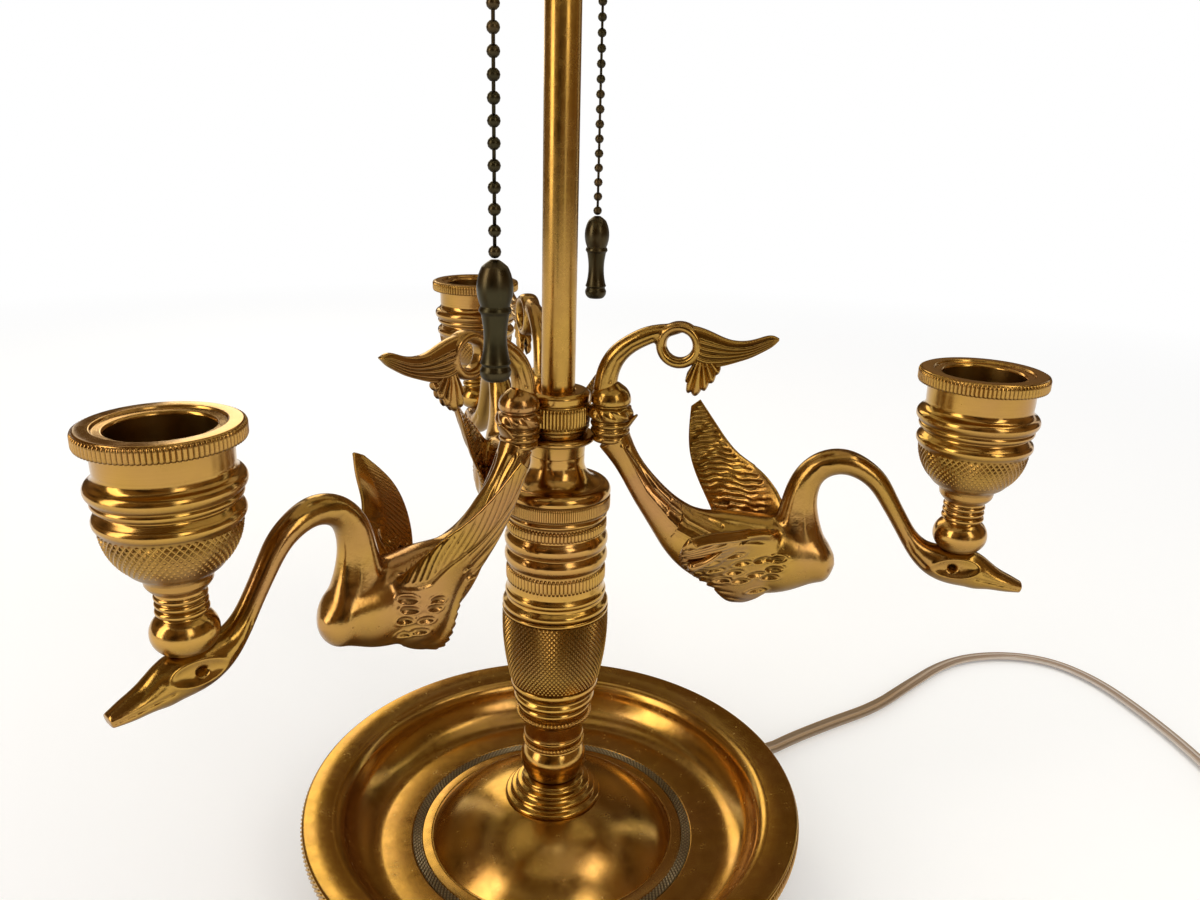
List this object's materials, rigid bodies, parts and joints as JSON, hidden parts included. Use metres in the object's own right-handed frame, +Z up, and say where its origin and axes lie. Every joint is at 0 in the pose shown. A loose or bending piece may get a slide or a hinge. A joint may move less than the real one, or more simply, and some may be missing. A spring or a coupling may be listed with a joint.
{
  "type": "bouillotte table lamp",
  "caption": "Brass table lamp with a dished base, a turned column, swan-shaped arms with candle cups, pull-chain sockets and an adjustable tapered shade.",
  "frame": {"origin": "on the column's axis at the lamp's underside, on the surface that it stands on", "axes": "+Z up along the column; +X to the right and -Y towards a viewer who faces the lamp"},
  "size_m": [0.5347, 0.3498, 0.5624],
  "materials": {
    "cast_brass": "polished casting with tarnish in the hollows",
    "turned_brass": "polished, lightly tarnished",
    "foot_metal": "dull",
    "cast_iron": "rough",
    "felt": "felt",
    "plated_steel": "brass-plated",
    "insulator": "moulded phenolic",
    "fibre_liner": "pressed fibre",
    "lamp_contact": "plain rolled brass",
    "antique_bronze": "antique, dark",
    "painted_tole": "satin enamel",
    "cord_plastic": "clear gold PVC over copper strands",
    "plug_plastic": "moulded, clear gold"
  },
  "bodies": {
    "lamp": {"arm_collar": "turned_brass", "base_dish": "turned_brass", "base_nut": "plated_steel", "base_washer": "plated_steel", "base_weight": "cast_iron", "bell_cap": "turned_brass", "candle_cup_back": "turned_brass", "candle_cup_left": "turned_brass", "candle_cup_right": "turned_brass", "centre_contact_front": "lamp_contact", "centre_contact_rear": "lamp_contact", "chain_outlet_front": "turned_brass", "chain_outlet_rear": "turned_brass", "cluster_body": "turned_brass", "cluster_branch_front": "turned_brass", "cluster_branch_rear": "turned_brass", "cord": "cord_plastic", "cord_coil": "cord_plastic", "cord_relief": "plug_plastic", "cord_tail": "cord_plastic", "felt_pad": "felt", "finial": "turned_brass", "foot_boss": "turned_brass", "foot_ring": "foot_metal", "knurled_barrel": "turned_brass", "lock_ring": "turned_brass", "lower_baluster": "turned_brass", "plug": "plug_plastic", "plug_blades": "lamp_contact", "ribbed_sleeve": "turned_brass", "screw_shell_front": "lamp_contact", "screw_shell_rear": "lamp_contact", "shade_rod": "turned_brass", "socket_cap_front": "turned_brass", "socket_cap_rear": "turned_brass", "socket_liner_front": "fibre_liner", "socket_liner_rear": "fibre_liner", "socket_shell_front": "turned_brass", "socket_shell_rear": "turned_brass", "stem_cap": "turned_brass", "stem_tube": "turned_brass", "swan_arm_back": "cast_brass", "swan_arm_left": "cast_brass", "swan_arm_right": "cast_brass", "switch_body_front": "insulator", "switch_body_rear": "insulator", "threaded_pipe": "plated_steel"},
    "shade_set": {"shade_carrier": "turned_brass", "shade_spider": "plated_steel", "shade": "painted_tole"},
    "shade_screw": {"thumbscrew": "turned_brass"},
    "switch_front": {"switch_link_front": "antique_bronze"},
    "pull_front": {"pull_chain_front": "antique_bronze", "pull_handle_front": "antique_bronze"},
    "switch_rear": {"switch_link_rear": "antique_bronze"},
    "pull_rear": {"pull_chain_rear": "antique_bronze", "pull_handle_rear": "antique_bronze"}
  },
  "joints": [
    {"name": "shade_height", "type": "slide", "parent": "lamp", "child": "shade_set", "axis": [0, 0, 1], "range_m": [-0.012, 0.04]},
    {"name": "shade_screw_turn", "type": "hinge", "parent": "shade_set", "child": "shade_screw", "pos_m": [0.004, 0, 0.4788], "axis": [1, 0, 0], "range_deg": [-180, 180]},
    {"name": "switch_front_travel", "type": "slide", "parent": "lamp", "child": "switch_front", "axis": [0, 0, -1], "range_m": [0, 0.009], "stiffness_N_per_m": 400, "springref_m": -0.002},
    {"name": "pull_front_swing", "type": "hinge", "parent": "switch_front", "child": "pull_front", "pos_m": [-0.01572, -0.06307, 0.3319], "axis": [-0.9703, 0.2419, 0], "range_deg": [-20, 45]},
    {"name": "switch_rear_travel", "type": "slide", "parent": "lamp", "child": "switch_rear", "axis": [0, 0, -1], "range_m": [0, 0.009], "stiffness_N_per_m": 400, "springref_m": -0.002},
    {"name": "pull_rear_swing", "type": "hinge", "parent": "switch_rear", "child": "pull_rear", "pos_m": [0.01351, 0.06358, 0.3319], "axis": [0.9781, -0.2079, 0], "range_deg": [-20, 45]}
  ]
}
